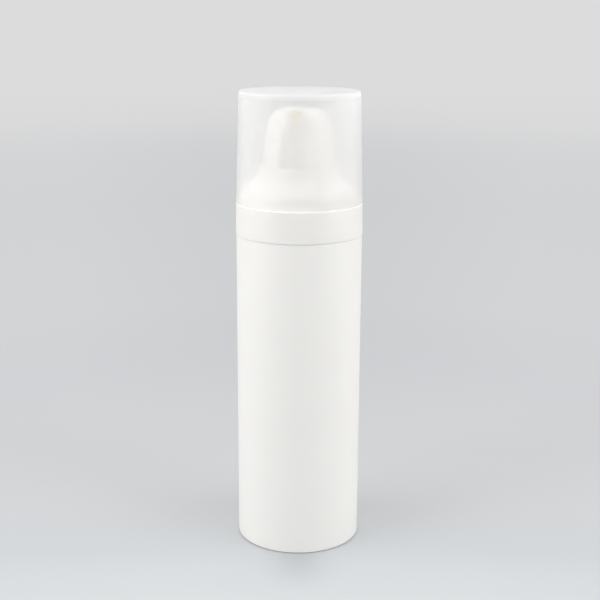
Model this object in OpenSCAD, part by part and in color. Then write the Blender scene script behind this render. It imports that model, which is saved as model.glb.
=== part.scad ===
// Airless pump bottle with a frosted overcap.
// Millimetres, +Z up, standing on z = 0 with the bottle's axis on the Z axis. The nozzle looks towards -Y.

/* [Bottle] */
// Outer diameter of the bottle
body_d = 34; // [31:0.5:38]
// Height of the bottle up to its shoulder
body_h = 86.3; // [70:0.1:110]
// Thickness of the bottle wall
body_wall = 1.4; // [1.2:0.05:1.8]
// Thickness of the deck that closes the top of the bottle round its neck
deck_t = 1.5; // [1.2:0.1:2]
// Radius that rounds the bottle's foot
foot_round = 0.4; // [0.2:0.05:0.6]
// Radius that rounds the bottle's top edge
edge_round = 0.3; // [0.1:0.05:0.5]

/* [Neck and snap closure] */
// Wall of the bottle's neck
neck_wall = 1.4; // [1.1:0.05:1.8]
// How far the snap bead stands out from the neck
neck_bead = 0.55; // [0.4:0.05:0.7]
// Height of the snap bead
neck_bead_h = 1.2; // [0.9:0.1:1.4]
// Distance of the snap bead below the neck's rim
neck_bead_drop = 0.5; // [0.3:0.05:0.7]
// Thickness of the soft ring on the neck's rim
gasket_t = 0.7; // [0.5:0.05:0.9]
// Wall of the snap closure's skirt
closure_wall = 1.95; // [1.6:0.05:2.2]
// Thickness of the snap closure's top web
closure_web_t = 1.1; // [0.9:0.05:1.3]
// Diameter of the hole in the snap closure's top web
closure_hole_d = 16; // [14.5:0.1:18]
// Height of the snap closure's foot over the bottle's shoulder
closure_lift = 0.5; // [0.3:0.1:0.8]

/* [Shoulder collar] */
// Height of the straight band of the shoulder collar
collar_h = 8.5; // [8:0.1:12]
// Wall of the shoulder collar, its flare and its turret
collar_t = 1.1; // [0.9:0.05:1.3]
// Width of the dark seam between the bottle and the collar
seam_gap = 0.2; // [0.1:0.05:0.4]
// How far the collar's foot stands out past the bottle
collar_lip = 0.12; // [0.05:0.01:0.3]
// Radius that rounds the collar's edges
collar_round = 0.45; // [0.2:0.05:0.6]
// Height of the upright wall that the overcap snaps over
seat_h = 1.7; // [1.5:0.1:2]
// Rise of the collar's flare from that wall to the turret
flare_h = 6.8; // [6.4:0.1:7.2]
// Radius of the flare's lower, outward curve
flare_low_r = 2.5; // [2:0.1:2.8]
// Radius of the flare's upper, inward curve
flare_high_r = 3; // [2.5:0.1:3.3]
// Rise from the overcap's ledge to the turret's rim
shoulder_rise = 10; // [9.6:0.1:11]
// Radius that rounds the turret's rim
rim_round = 0.4; // [0.2:0.05:0.45]

/* [Overcap] */
// Height of the overcap
cap_h = 29.6; // [28.5:0.1:36]
// Wall of the overcap
cap_wall = 1.1; // [0.9:0.05:1.4]
// Thickness of the overcap's top
cap_top_t = 1.3; // [1:0.1:2]
// How much smaller the overcap's radius is at its top than at its mouth
cap_draft = 0.85; // [0.3:0.05:1.2]
// Step in radius from the collar's band to the overcap's mouth
cap_step = 0.05; // [0.02:0.01:0.2]
// Radius that rounds the overcap's top edge
cap_round = 0.7; // [0.3:0.05:1]
// Radial room between the overcap's wall and the wall that it snaps over
cap_gap = 0.3; // [0.2:0.05:0.4]
// Height of the snap bead inside the overcap's mouth
cap_bead_h = 0.8; // [0.5:0.1:1]
// Height of that bead's middle over the ledge
cap_bead_z = 1.1; // [0.9:0.05:1.2]

/* [Actuator] */
// Diameter of the actuator where it slides in the turret
act_d = 19.3; // [18:0.1:20.5]
// Rise of the actuator's crown over the turret's rim
act_rise = 15.2; // [14.5:0.1:17]
// Depth of the actuator's skirt inside the turret
act_overlap = 5.5; // [5:0.1:5.8]
// Wall of the actuator
act_wall = 1.1; // [0.9:0.05:1.3]
// Radius of the long curve of the actuator's side
side_r = 56; // [45:1:80]
// Depth below the turret's rim at which that curve starts
side_drop = 1; // [0.5:0.1:1.5]
// Radius of the actuator's domed crown
crown_r = 26; // [22:0.5:32]
// Radius between the crown and the side
shoulder_r = 4.5; // [4:0.1:5]
// Radius of the finger scoop in the actuator's front
scoop_r = 6.5; // [5.5:0.1:7]
// Distance of the scoop's floor from the axis
scoop_floor = 6.9; // [6.7:0.1:7.5]
// Depth below the crown at which the scoop starts to arch over
scoop_drop = 7.7; // [7.3:0.1:9]
// Depth of the scoop's lower end below the turret's rim
scoop_sink = 1.5; // [1:0.1:2]
// Turn of the nozzle about the axis, towards -X
nozzle_turn = 6; // [0:1:30]
// Width of the spout
spout_w = 5.4; // [4.6:0.1:6]
// Height of the spout
spout_h = 3.5; // [3.3:0.1:3.8]
// Distance of the spout's face from the axis
spout_reach = 9.6; // [9.4:0.1:11]
// Depth of the spout's middle below the crown
spout_drop = 1.6; // [1.5:0.05:1.7]
// Thickness of the ribs that hold the hub inside the actuator
rib_t = 1; // [0.8:0.1:1.4]
// Number of those ribs
rib_count = 3; // [3:1:5]
// Wall of the hub round the riser
hub_wall = 1; // [0.8:0.1:1.3]

/* [Spout core] */
// Outer diameter of the riser
riser_d = 5.2; // [4.8:0.1:5.6]
// Bore of the riser and of the stem
flow_d = 2.4; // [2:0.1:2.8]
// Width of the spout's tip
tip_w = 2.9; // [2.5:0.1:3.3]
// Height of the spout's tip
tip_h = 2.2; // [1.9:0.1:2.3]
// Depth of the tip behind the spout's face
tip_recess = 0.25; // [0.1:0.05:0.5]
// Diameter of the outlet hole in the tip
outlet_d = 1.2; // [0.8:0.1:1.4]
// Wall of the socket that takes the stem
socket_wall = 0.95; // [0.7:0.05:1.05]
// Depth of the socket below the spring's upper seat
socket_drop = 2.3; // [1.8:0.1:3]
// Length of stem held in the socket above the spring's upper seat
socket_grip = 4.7; // [4:0.1:5.5]
// Diameter of the spring's upper seat
seat_d = 10; // [9.2:0.1:11]
// Thickness of the spring's upper seat
seat_t = 1; // [0.8:0.1:1.3]

/* [Pump] */
// Stroke of the pump
stroke = 4; // [3:0.1:4.4]
// Free travel of the pump piston on its stem, which opens and shuts the outlet
piston_play = 0.8; // [0.5:0.1:1]
// Height of the pump piston
piston_h = 4.2; // [3.6:0.1:5]
// Wall of the pump piston's lips
piston_lip_t = 0.5; // [0.4:0.05:0.7]
// Bore of the pump barrel
barrel_d = 8; // [7.6:0.1:8.6]
// Wall of the pump barrel
barrel_wall = 1; // [0.8:0.05:1.2]
// Rise of the barrel's rim over the housing's flange
barrel_rise = 3.3; // [3:0.1:3.6]
// Wall of the barrel's wider head round the retainer
barrel_head_wall = 1; // [0.8:0.05:1.2]
// Thickness of the housing's flange on the gasket
flange_t = 1.1; // [0.9:0.05:1.3]
// Wall of the housing's plug in the neck
plug_wall = 1.1; // [0.9:0.05:1.4]
// Thickness of the web between the barrel and the plug
plug_web_t = 1.2; // [1:0.1:1.5]
// Height of that web over the underside of the bottle's deck
plug_lift = 0.8; // [0.6:0.1:1.2]
// Outer diameter of the stem
stem_d = 4.4; // [4.2:0.1:4.8]
// Diameter of the stem's collar, which stops it at the top
stem_collar_d = 6; // [5.6:0.1:6.4]
// Thickness of the stem's collar
stem_collar_t = 1; // [0.8:0.1:1.2]
// Length of the valve rod's shank inside the stem
shank_len = 3.3; // [2.8:0.1:4]
// Distance from the piston's foot up to the stem's lower end
stem_tail = 1.3; // [1:0.1:1.6]
// Diameter of the valve rod's neck below the stem
rod_neck_d = 3; // [2.8:0.1:3.4]
// Diameter of the valve rod's disc
disc_d = 5.6; // [5.2:0.1:6]
// Thickness of the valve rod's disc
disc_t = 1; // [0.8:0.1:1.2]
// Width of the flats along the valve rod's shank
flat_w = 1.5; // [1.3:0.1:1.8]
// Room left under the valve rod's disc at the end of the stroke
floor_gap = 0.3; // [0.2:0.05:0.6]

/* [Inlet valve] */
// Diameter of the inlet ball
ball_d = 3; // [2.8:0.1:3.2]
// Lift of the inlet ball
ball_lift = 0.8; // [0.5:0.1:1]
// Bore of the inlet below the ball
inlet_d = 2; // [1.6:0.1:2]
// Radial room round the ball in its chamber
chamber_gap = 0.25; // [0.15:0.05:0.4]
// Bore of the lip that keeps the ball in
lip_d = 2.4; // [2:0.1:2.5]
// Thickness of that lip
lip_t = 0.8; // [0.6:0.1:1]
// Number of flow slots through that lip
lip_slots = 3; // [2:1:4]
// Width of a flow slot
slot_w = 0.7; // [0.5:0.1:0.9]
// Length of the inlet nipple below the ball's seat
nipple_len = 1.5; // [1:0.1:2]
// Wall of the inlet nipple round the ball's chamber
nipple_wall = 1.15; // [0.9:0.05:1.4]

/* [Retainer, stem seal and spring] */
// Depth of the retainer's plug in the barrel's head
retainer_h = 3; // [2.6:0.1:3.2]
// Width of the step that the retainer's plug rests on
retainer_step = 1.2; // [1:0.1:1.4]
// Thickness of the retainer's flange, the spring's lower seat
retainer_t = 0.8; // [0.6:0.1:1]
// Height of the boss that centres the spring
boss_h = 1.2; // [0.8:0.1:1.6]
// Wall of that boss round the stem
boss_wall = 0.65; // [0.5:0.05:0.7]
// Height of the stem seal
seal_h = 1.1; // [0.9:0.1:1.3]
// Radial thickness of the stem seal
seal_t = 0.95; // [0.7:0.05:1.1]
// Height of the stem seal over the retainer's foot
seal_lift = 1; // [0.8:0.1:1.2]
// Length of the spring at rest
spring_len = 9.5; // [9:0.1:10.5]
// Mean diameter of the spring
spring_d = 7.5; // [7.4:0.05:8]
// Diameter of the spring's wire
spring_wire = 0.6; // [0.5:0.05:0.7]
// Turns of the spring
spring_turns = 6; // [5:0.5:6.5]

/* [Follower piston] */
// Wall of the follower's cup, which takes the pump barrel at the end of its travel
cup_wall = 1.2; // [1:0.1:1.5]
// Radial room between the follower's cup and the pump barrel
cup_gap = 0.6; // [0.4:0.1:1]
// Thickness of the follower's floor and web
follower_t = 1.2; // [1:0.1:1.5]
// Room under the inlet nipple at the end of the follower's travel
nipple_gap = 0.6; // [0.4:0.1:1]
// Height of each of the follower's two wiping lips
wiper_h = 1.2; // [0.8:0.1:1.8]
// Depth of the waist between the lips
waist_depth = 0.45; // [0.3:0.05:0.7]
// Wall of the follower's skirt
follower_wall = 1.1; // [0.9:0.1:1.3]
// Distance of the follower's web below its upper lip's edge
web_drop = 2.8; // [2:0.1:3.6]

/* [Base plug] */
// Height of the base plug's underside over the standing plane
base_lift = 0.4; // [0.2:0.1:0.8]
// Thickness of the base plug's rim
base_rim_t = 1.4; // [1.2:0.1:1.8]
// Depth of the dish under the base plug
base_dish = 0.5; // [0.3:0.1:0.6]
// Diameter of that dish
base_dish_d = 25; // [20:0.5:26]
// Width of the step that the base plug's rim sits in
base_step = 0.5; // [0.4:0.05:0.6]
// Height of the base plug's skirt
base_skirt_h = 2.4; // [2:0.1:3]
// Wall of the base plug's skirt
base_skirt_t = 1.05; // [0.9:0.05:1.3]
// How far the base plug's snap bead stands out
base_bead = 0.2; // [0.1:0.05:0.2]
// Height of the base plug's snap bead
base_bead_h = 0.4; // [0.2:0.1:0.5]
// Diameter of the vent hole in the base plug
vent_d = 1.8; // [1.2:0.1:2.4]

/* [Clearances] */
// Radial room of the actuator in the turret
slide_gap = 0.25; // [0.15:0.05:0.35]
// Room of a close running fit
run_gap = 0.05; // [0.03:0.01:0.08]
// Radial room of the stem in the retainer that guides it
guide_gap = 0.15; // [0.1:0.01:0.2]
// Room of a snap or plug fit
snap_gap = 0.1; // [0.05:0.01:0.15]
// Room between pieces that come to rest on each other
rest_gap = 0.3; // [0.2:0.05:0.4]

/* [Hidden] */
$fn = 96;

// Points on each rounding and along each long curve
round_steps = 6;
curve_steps = 10;
// Rings on each turn of the spring and sides of its wire
spring_rings = 12;
spring_sides = 6;
// Overshoot of a cut past the face that it opens
cut = 0.5;

// Radii from the outside in
body_r = body_d / 2;
body_bore_r = body_r - body_wall;
collar_bore_r = body_r - collar_t;
closure_r = collar_bore_r - snap_gap;
closure_bore_r = closure_r - closure_wall;
neck_r = closure_bore_r - snap_gap - neck_bead;
neck_bore_r = neck_r - neck_wall;
plug_r = neck_bore_r - snap_gap;
flange_r = neck_r - 2 * snap_gap;
cap_foot_r = body_r - cap_step;
cap_top_r = cap_foot_r - cap_draft;
seat_r = cap_foot_r - cap_wall - cap_gap;
act_r = act_d / 2;
turret_bore_r = act_r + slide_gap;
turret_r = turret_bore_r + collar_t;
barrel_bore_r = barrel_d / 2;
barrel_r = barrel_bore_r + barrel_wall;
retainer_seat_r = barrel_bore_r + retainer_step;
retainer_r = retainer_seat_r - run_gap;
head_r = retainer_seat_r + barrel_head_wall;
stem_r = stem_d / 2;
sliding_r = stem_r + run_gap;
socket_r = sliding_r + socket_wall;
riser_r = riser_d / 2;
flow_r = flow_d / 2;
chamber_r = ball_d / 2 + chamber_gap;
nipple_r = chamber_r + nipple_wall;
cup_r = barrel_r + cup_gap;

// Levels from the standing plane up
deck_z = body_h - deck_t;
collar_z = body_h + seam_gap;
ledge_z = collar_z + collar_h;
closure_top = ledge_z - collar_t - snap_gap;
flange_top = closure_top - closure_web_t;
flange_z = flange_top - flange_t;
neck_top = flange_z - gasket_t;
neck_bead_z = neck_top - neck_bead_drop - neck_bead_h;
closure_z = body_h + closure_lift;
web_z = deck_z + plug_lift;
turret_top = ledge_z + shoulder_rise;
cap_top = ledge_z + cap_h;
act_z = turret_top - act_overlap;
act_top = turret_top + act_rise;
barrel_top = flange_top + barrel_rise;
retainer_z = barrel_top - retainer_h;
spring_z = barrel_top + retainer_t;
seat_z = spring_z + spring_len;
socket_z = seat_z - socket_drop;
stem_top = seat_z + socket_grip;
socket_top = stem_top + run_gap;
spout_z = act_top - spout_drop;
riser_top = act_top - act_wall - run_gap;

// The pump's chain from the stem's upper stop down to the inlet nipple
stem_collar_z = retainer_z - run_gap - stem_collar_t;
piston_z = stem_collar_z - run_gap - piston_play - piston_h;
stem_z = piston_z + stem_tail;
disc_z = piston_z - run_gap - disc_t;
barrel_floor = disc_z - stroke - floor_gap;
lip_z = barrel_floor - lip_t;
ball_r = ball_d / 2;
lip_r = lip_d / 2;
ball_z = lip_z - sqrt(ball_r * ball_r - lip_r * lip_r) - ball_lift - run_gap;
inlet_r = inlet_d / 2;
ball_seat_z = ball_z + inlet_r - sqrt(2) * (ball_r + run_gap);
nipple_z = ball_seat_z - nipple_len;

// The base plug and the follower, which rests on it and stops under the deck
base_rim_top = base_lift + base_rim_t;
base_top = base_rim_top + base_skirt_h;
base_bead_z = base_rim_top + base_skirt_h / 2 - base_bead_h / 2;
follower_z = base_top + rest_gap;
follower_h = deck_z - rest_gap - (nipple_z - nipple_gap - follower_t);
follower_travel = deck_z - rest_gap - follower_h - follower_z;

// The flare: an outward arc, a straight and an inward arc, tangent where they meet
flare_sum = flare_low_r + flare_high_r;
flare_dr = seat_r - turret_r;
flare_len = sqrt(pow(flare_dr - flare_sum, 2) + flare_h * flare_h - flare_sum * flare_sum);
flare_angle = atan2(flare_dr - flare_sum, flare_h) + atan2(flare_sum, flare_len);
flare_z = ledge_z + seat_h;

// The actuator's side, crown and shoulder arcs, the last tangent to the other two
side_centre = [act_r - side_r, turret_top - side_drop];
crown_centre = [0, act_top - crown_r];
shoulder_centre = meeting_point(side_centre, side_r - shoulder_r, crown_centre, crown_r - shoulder_r);
side_angle = angle_of(shoulder_centre - side_centre);
crown_angle = angle_of(shoulder_centre - crown_centre);

function angle_of(v) = atan2(v[1], v[0]);

// Points on an arc from angle a0 to angle a1
function arc(centre, r, a0, a1, steps) =
    [for (i = [0:steps]) centre + r * [cos(a0 + (a1 - a0) * i / steps), sin(a0 + (a1 - a0) * i / steps)]];

// The upper point where two circles meet
function meeting_point(p, rp, q, rq) =
    let (d = norm(q - p), a = (rp * rp - rq * rq + d * d) / (2 * d), h = sqrt(rp * rp - a * a), u = (q - p) / d)
    p + a * u + h * [-u[1], u[0]];

// A ring or tube about the axis, from z0 to z1
module ring(r_out, r_in, z0, z1) {
    rotate_extrude()
        translate([r_in, z0])
            square([r_out - r_in, z1 - z0]);
}

// A solid disc or plug about the axis, from z0 to z1
module disc(r, z0, z1) {
    translate([0, 0, z0])
        cylinder(r = r, h = z1 - z0);
}

// A flat outline with two round ends
module stadium(w, h) {
    for (side = [-1, 1])
        translate([side * (w - h) / 2, 0])
            circle(d = h);
    square([w - h, h], center = true);
}

// Bottle: a straight cylinder with a deck and a neck above, and a step for the base plug below
module bottle_body() {
    color("white")
        difference() {
            rotate_extrude()
                polygon(concat(
                    [[0, 0]],
                    arc([body_r - foot_round, foot_round], foot_round, -90, 0, round_steps),
                    arc([body_r - edge_round, body_h - edge_round], edge_round, 0, 90, round_steps),
                    [[neck_r, body_h],
                    [neck_r, neck_bead_z],
                    [neck_r + neck_bead, neck_bead_z],
                    [neck_r + neck_bead, neck_bead_z + neck_bead_h / 3],
                    [neck_r, neck_bead_z + neck_bead_h],
                    [neck_r, neck_top],
                    [0, neck_top]]));
            disc(body_bore_r, base_rim_top, deck_z);
            disc(neck_bore_r, deck_z - cut, neck_top + cut);
            disc(body_bore_r + base_step, -cut, base_rim_top);
            disc(body_bore_r + base_bead + run_gap, base_bead_z - snap_gap, base_bead_z + base_bead_h + snap_gap);
        }
}

// Base plug: a dished rim on the bottle's step, with a snap skirt and a vent
module base_plug() {
    skirt_r = body_bore_r - run_gap;
    color("whitesmoke")
        difference() {
            union() {
                disc(body_bore_r + base_step - snap_gap, base_lift, base_rim_top);
                ring(skirt_r, skirt_r - base_skirt_t, base_rim_top - base_rim_t / 2, base_top);
                ring(skirt_r + base_bead, skirt_r - base_skirt_t / 2, base_bead_z, base_bead_z + base_bead_h);
            }
            disc(base_dish_d / 2, 0, base_lift + base_dish);
            disc(vent_d / 2, 0, base_top);
        }
}

// Follower piston: two wiping lips, a waist and a cup that takes the pump barrel at the top of its travel
module follower_piston() {
    lip_edge = body_bore_r - run_gap;
    skirt_in = lip_edge - waist_depth - follower_wall;
    waist_r = lip_edge - waist_depth;
    color("ivory")
        translate([0, 0, follower_z])
            rotate_extrude()
                polygon([
                    [0, 0],
                    [cup_r + cup_wall, 0],
                    [cup_r + cup_wall, follower_h - web_drop - follower_t],
                    [skirt_in, follower_h - web_drop - follower_t],
                    [skirt_in, wiper_h],
                    [lip_edge - follower_wall, 0],
                    [lip_edge, 0],
                    [waist_r, wiper_h],
                    [waist_r, follower_h - wiper_h],
                    [lip_edge, follower_h],
                    [lip_edge - follower_wall, follower_h],
                    [skirt_in, follower_h - wiper_h],
                    [skirt_in, follower_h - web_drop],
                    [cup_r, follower_h - web_drop],
                    [cup_r, follower_t],
                    [0, follower_t]]);
}

// Neck gasket: a flat soft ring on the neck's rim, under the housing's flange
module neck_gasket() {
    color("gainsboro")
        ring(neck_r - snap_gap, neck_bore_r + snap_gap, neck_top, flange_z);
}

// Pump housing: the flange on the gasket, the plug in the neck, the barrel and the inlet nipple
module pump_housing() {
    color("white")
        difference() {
            union() {
                ring(flange_r, plug_r - plug_wall, flange_z, flange_top);
                ring(plug_r, plug_r - plug_wall, web_z, flange_top);
                disc(plug_r, web_z, web_z + plug_web_t);
                disc(head_r, web_z, barrel_top);
                disc(barrel_r, lip_z, web_z + plug_web_t);
                disc(nipple_r, nipple_z, barrel_floor);
            }
            disc(retainer_seat_r, retainer_z, barrel_top + cut);
            disc(barrel_bore_r, barrel_floor, retainer_z + cut);
            disc(lip_r, lip_z - cut, barrel_floor + cut);
            for (i = [0:lip_slots - 1])
                rotate([0, 0, 360 * i / lip_slots])
                    translate([0, -slot_w / 2, lip_z - cut])
                        cube([chamber_r, slot_w, lip_t + 2 * cut]);
            rotate_extrude()
                polygon([
                    [0, nipple_z - cut],
                    [inlet_r, nipple_z - cut],
                    [inlet_r, ball_seat_z],
                    [chamber_r, ball_seat_z + chamber_r - inlet_r],
                    [chamber_r, lip_z],
                    [0, lip_z]]);
        }
}

// Inlet ball: it sits on the cone in the nipple and lifts under the pump's suction
module inlet_ball() {
    color("silver")
        translate([0, 0, ball_z])
            sphere(r = ball_r);
}

// Housing retainer: closes the barrel, guides the stem and carries the spring
module housing_retainer() {
    guide_r = stem_r + guide_gap;
    color("white")
        difference() {
            union() {
                disc(retainer_r, retainer_z, barrel_top);
                disc(head_r, barrel_top, spring_z);
                disc(guide_r + boss_wall, barrel_top, spring_z + boss_h);
            }
            disc(guide_r, retainer_z - cut, spring_z + boss_h + cut);
            disc(sliding_r + seal_t + run_gap, retainer_z + seal_lift - run_gap,
                retainer_z + seal_lift + seal_h + run_gap);
        }
}

// Stem seal: a soft ring in the retainer's groove, round the stem
module stem_seal() {
    color("dimgray")
        ring(sliding_r + seal_t, sliding_r, retainer_z + seal_lift, retainer_z + seal_lift + seal_h);
}

// Stem: a tube from the piston up into the spout core, with a collar that stops it under the retainer
module stem() {
    color("ivory")
        difference() {
            union() {
                disc(stem_r, stem_z, stem_top);
                disc(stem_collar_d / 2, stem_collar_z, stem_collar_z + stem_collar_t);
            }
            disc(flow_r, stem_z - cut, stem_top + cut);
        }
}

// Valve rod: a flatted shank in the stem, a neck and the disc that the piston closes on
module valve_rod() {
    color("white")
        union() {
            intersection() {
                disc(flow_r - run_gap, stem_z, stem_z + shank_len);
                translate([0, 0, stem_z + shank_len / 2])
                    cube([flow_d, flat_w, shank_len], center = true);
            }
            disc(rod_neck_d / 2, disc_z, stem_z);
            disc(disc_d / 2, disc_z, disc_z + disc_t);
        }
}

// Pump piston: a sleeve on the stem with an upper and a lower lip against the barrel
module pump_piston() {
    lip_edge = barrel_bore_r - run_gap;
    sleeve_r = (sliding_r + lip_edge) / 2;
    color("aliceblue")
        rotate_extrude()
            polygon([
                [sliding_r, piston_z],
                [sleeve_r - piston_lip_t / 2, piston_z],
                [sleeve_r - piston_lip_t / 2, piston_z + piston_h / 3],
                [lip_edge - piston_lip_t, piston_z],
                [lip_edge, piston_z],
                [sleeve_r + piston_lip_t / 2, piston_z + piston_h / 2],
                [lip_edge, piston_z + piston_h],
                [lip_edge - piston_lip_t, piston_z + piston_h],
                [sleeve_r - piston_lip_t / 2, piston_z + piston_h * 2 / 3],
                [sleeve_r - piston_lip_t / 2, piston_z + piston_h],
                [sliding_r, piston_z + piston_h]]);
}

// Return spring: one unbroken helix of round wire
spring_count = round(spring_turns * spring_rings);
spring_pitch = (spring_len - spring_wire) / spring_turns;
function spring_centre(i) =
    [spring_d / 2 * cos(360 * i / spring_rings), spring_d / 2 * sin(360 * i / spring_rings),
        spring_z + spring_wire / 2 + spring_pitch * i / spring_rings];
function spring_point(i, j) =
    let (turn = 360 * i / spring_rings, side = 360 * j / spring_sides)
    spring_centre(i) + spring_wire / 2
        * [cos(turn) * cos(side), sin(turn) * cos(side), sin(side)];
spring_gap = min([for (i = [0:spring_count - spring_rings])
    norm(spring_centre(i + spring_rings) - spring_centre(i)) - spring_wire]);
echo(least_gap_of_the_spring = spring_gap);

module return_spring() {
    last = spring_count * spring_sides;
    color("lightsteelblue")
        polyhedron(
            points = [for (i = [0:spring_count], j = [0:spring_sides - 1]) spring_point(i, j)],
            faces = concat(
                [[for (j = [0:spring_sides - 1]) j]],
                [for (i = [0:spring_count - 1], j = [0:spring_sides - 1])
                    let (a = i * spring_sides + j, b = i * spring_sides + (j + 1) % spring_sides)
                    [b, a, a + spring_sides]],
                [for (i = [0:spring_count - 1], j = [0:spring_sides - 1])
                    let (a = i * spring_sides + j, b = i * spring_sides + (j + 1) % spring_sides)
                    [b, a + spring_sides, b + spring_sides]],
                [[for (j = [spring_sides - 1:-1:0]) last + j]]));
}

// Snap closure: clips under the neck's bead and clamps the pump housing on the gasket
module snap_closure() {
    hook_z = neck_bead_z - snap_gap;
    color("whitesmoke")
        difference() {
            disc(closure_r, closure_z, closure_top);
            disc(neck_r + snap_gap, closure_z - cut, hook_z + cut);
            disc(closure_bore_r, hook_z, flange_top);
            disc(closure_hole_d / 2, flange_top - cut, closure_top + cut);
        }
}

// Outline of the collar above its ledge, on a surface that lies t inside the outer one
function flare_outline(t) = concat(
    arc([seat_r - flare_low_r, flare_z], flare_low_r - t, 0, flare_angle, round_steps),
    arc([turret_r + flare_high_r, flare_z + flare_h], flare_high_r + t, 180 + flare_angle, 180, round_steps));

// Shoulder collar: the band that shows, the ledge and seat of the overcap, the flare and the turret
module shoulder_collar() {
    foot_r = body_r + collar_lip;
    color("white")
        difference() {
            rotate_extrude()
                polygon(concat(
                    [[0, collar_z]],
                    arc([foot_r - collar_round, collar_z + collar_round], collar_round, -90, 0, round_steps),
                    arc([body_r - collar_round, ledge_z - collar_round], collar_round, 0, 90, round_steps),
                    [[seat_r, ledge_z]],
                    flare_outline(0),
                    arc([turret_r - rim_round, turret_top - rim_round], rim_round, 0, 90, round_steps),
                    [[0, turret_top]]));
            disc(collar_bore_r, collar_z - cut, ledge_z - collar_t);
            rotate_extrude()
                polygon(concat(
                    [[0, ledge_z - collar_t - cut], [seat_r - collar_t, ledge_z - collar_t - cut]],
                    flare_outline(collar_t),
                    [[turret_bore_r, turret_top + cut], [0, turret_top + cut]]));
        }
}

// Outline of the actuator on a surface that lies t inside the outer one, from the axis to its foot
function act_outline(t, foot) = concat(
    arc(crown_centre, crown_r - t, 90, crown_angle, round_steps),
    arc(shoulder_centre, shoulder_r - t, crown_angle, side_angle, curve_steps),
    arc(side_centre, side_r - t, side_angle, 0, curve_steps),
    [[act_r - t, foot], [0, foot]]);

module act_solid(t, foot) {
    rotate_extrude()
        polygon(act_outline(t, foot));
}

// The finger scoop, grown by t: an upright cylinder with a ball on top
module scoop(t) {
    scoop_z = turret_top - scoop_sink - t;
    arch_z = act_top - scoop_drop;
    translate([0, -scoop_floor - scoop_r, scoop_z])
        cylinder(r = scoop_r + t, h = arch_z - scoop_z);
    translate([0, -scoop_floor - scoop_r, arch_z])
        sphere(r = scoop_r + t);
}

// Lays a flat outline across the nozzle's direction, from y0 behind to y1 in front
module along_spout(y0, y1) {
    translate([0, y0, spout_z])
        rotate([90, 0, 0])
            linear_extrude(height = y0 - y1)
                children();
}

// The space that the spout core fills inside the actuator, grown by t
module core_room(t) {
    disc(riser_r + t, socket_z, riser_top + t);
    along_spout(0, -spout_reach - cut)
        stadium(tip_w + 2 * t, tip_h + 2 * t);
}

// Actuator: a thin shell with a finger scoop, a spout, and a ribbed hub that grips the spout core
module actuator() {
    hub_z = socket_top + socket_wall + rest_gap;
    color("white")
        rotate([0, 0, -nozzle_turn])
            difference() {
                union() {
                    difference() {
                        act_solid(0, act_z);
                        scoop(0);
                        difference() {
                            act_solid(act_wall, act_z - cut);
                            scoop(act_wall);
                        }
                    }
                    intersection() {
                        act_solid(act_wall / 2, act_z);
                        union() {
                            disc(riser_r + run_gap + hub_wall, hub_z, act_top);
                            for (i = [0:rib_count - 1])
                                rotate([0, 0, 90 + 360 * i / rib_count])
                                    translate([0, -rib_t / 2, hub_z])
                                        cube([act_r, rib_t, act_top - hub_z]);
                        }
                        difference() {
                            disc(act_r, hub_z, act_top);
                            scoop(act_wall / 2);
                        }
                    }
                    along_spout(-riser_r, -spout_reach)
                        stadium(spout_w, spout_h);
                }
                core_room(run_gap);
            }
}

// Spout core: the socket on the stem, the spring's upper seat, the riser and the tip in the spout
module spout_core() {
    color("cornsilk")
        rotate([0, 0, -nozzle_turn])
            difference() {
                union() {
                    disc(socket_r, socket_z, socket_top + socket_wall);
                    disc(seat_d / 2, seat_z, seat_z + seat_t);
                    disc(riser_r, seat_z, riser_top);
                    along_spout(0, -spout_reach + tip_recess)
                        stadium(tip_w, tip_h);
                }
                disc(sliding_r, socket_z - cut, socket_top);
                disc(flow_r, stem_z, spout_z);
                along_spout(0, -spout_reach)
                    circle(d = outlet_d);
            }
}

// Overcap: a frosted shell with a slight draft and a snap bead inside its mouth
module overcap() {
    bead_r = seat_r + run_gap;
    color("aliceblue", 0.5)
        union() {
            rotate_extrude()
                polygon(concat(
                    [[cap_foot_r - cap_wall, ledge_z], [cap_foot_r, ledge_z]],
                    arc([cap_top_r - cap_round, cap_top - cap_round], cap_round, 0, 90, round_steps),
                    [[0, cap_top], [0, cap_top - cap_top_t], [cap_top_r - cap_wall, cap_top - cap_top_t]]));
            rotate_extrude()
                polygon([
                    [cap_foot_r - cap_wall / 2, ledge_z + cap_bead_z - cap_bead_h / 2],
                    [cap_foot_r - cap_wall, ledge_z + cap_bead_z - cap_bead_h / 2],
                    [bead_r, ledge_z + cap_bead_z],
                    [cap_foot_r - cap_wall, ledge_z + cap_bead_z + cap_bead_h / 2],
                    [cap_foot_r - cap_wall / 2, ledge_z + cap_bead_z + cap_bead_h / 2]]);
        }
}

bottle_body();
base_plug();
follower_piston();
neck_gasket();
pump_housing();
inlet_ball();
housing_retainer();
stem_seal();
stem();
valve_rod();
pump_piston();
return_spring();
snap_closure();
shoulder_collar();
actuator();
spout_core();
overcap();
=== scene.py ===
import math

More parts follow.
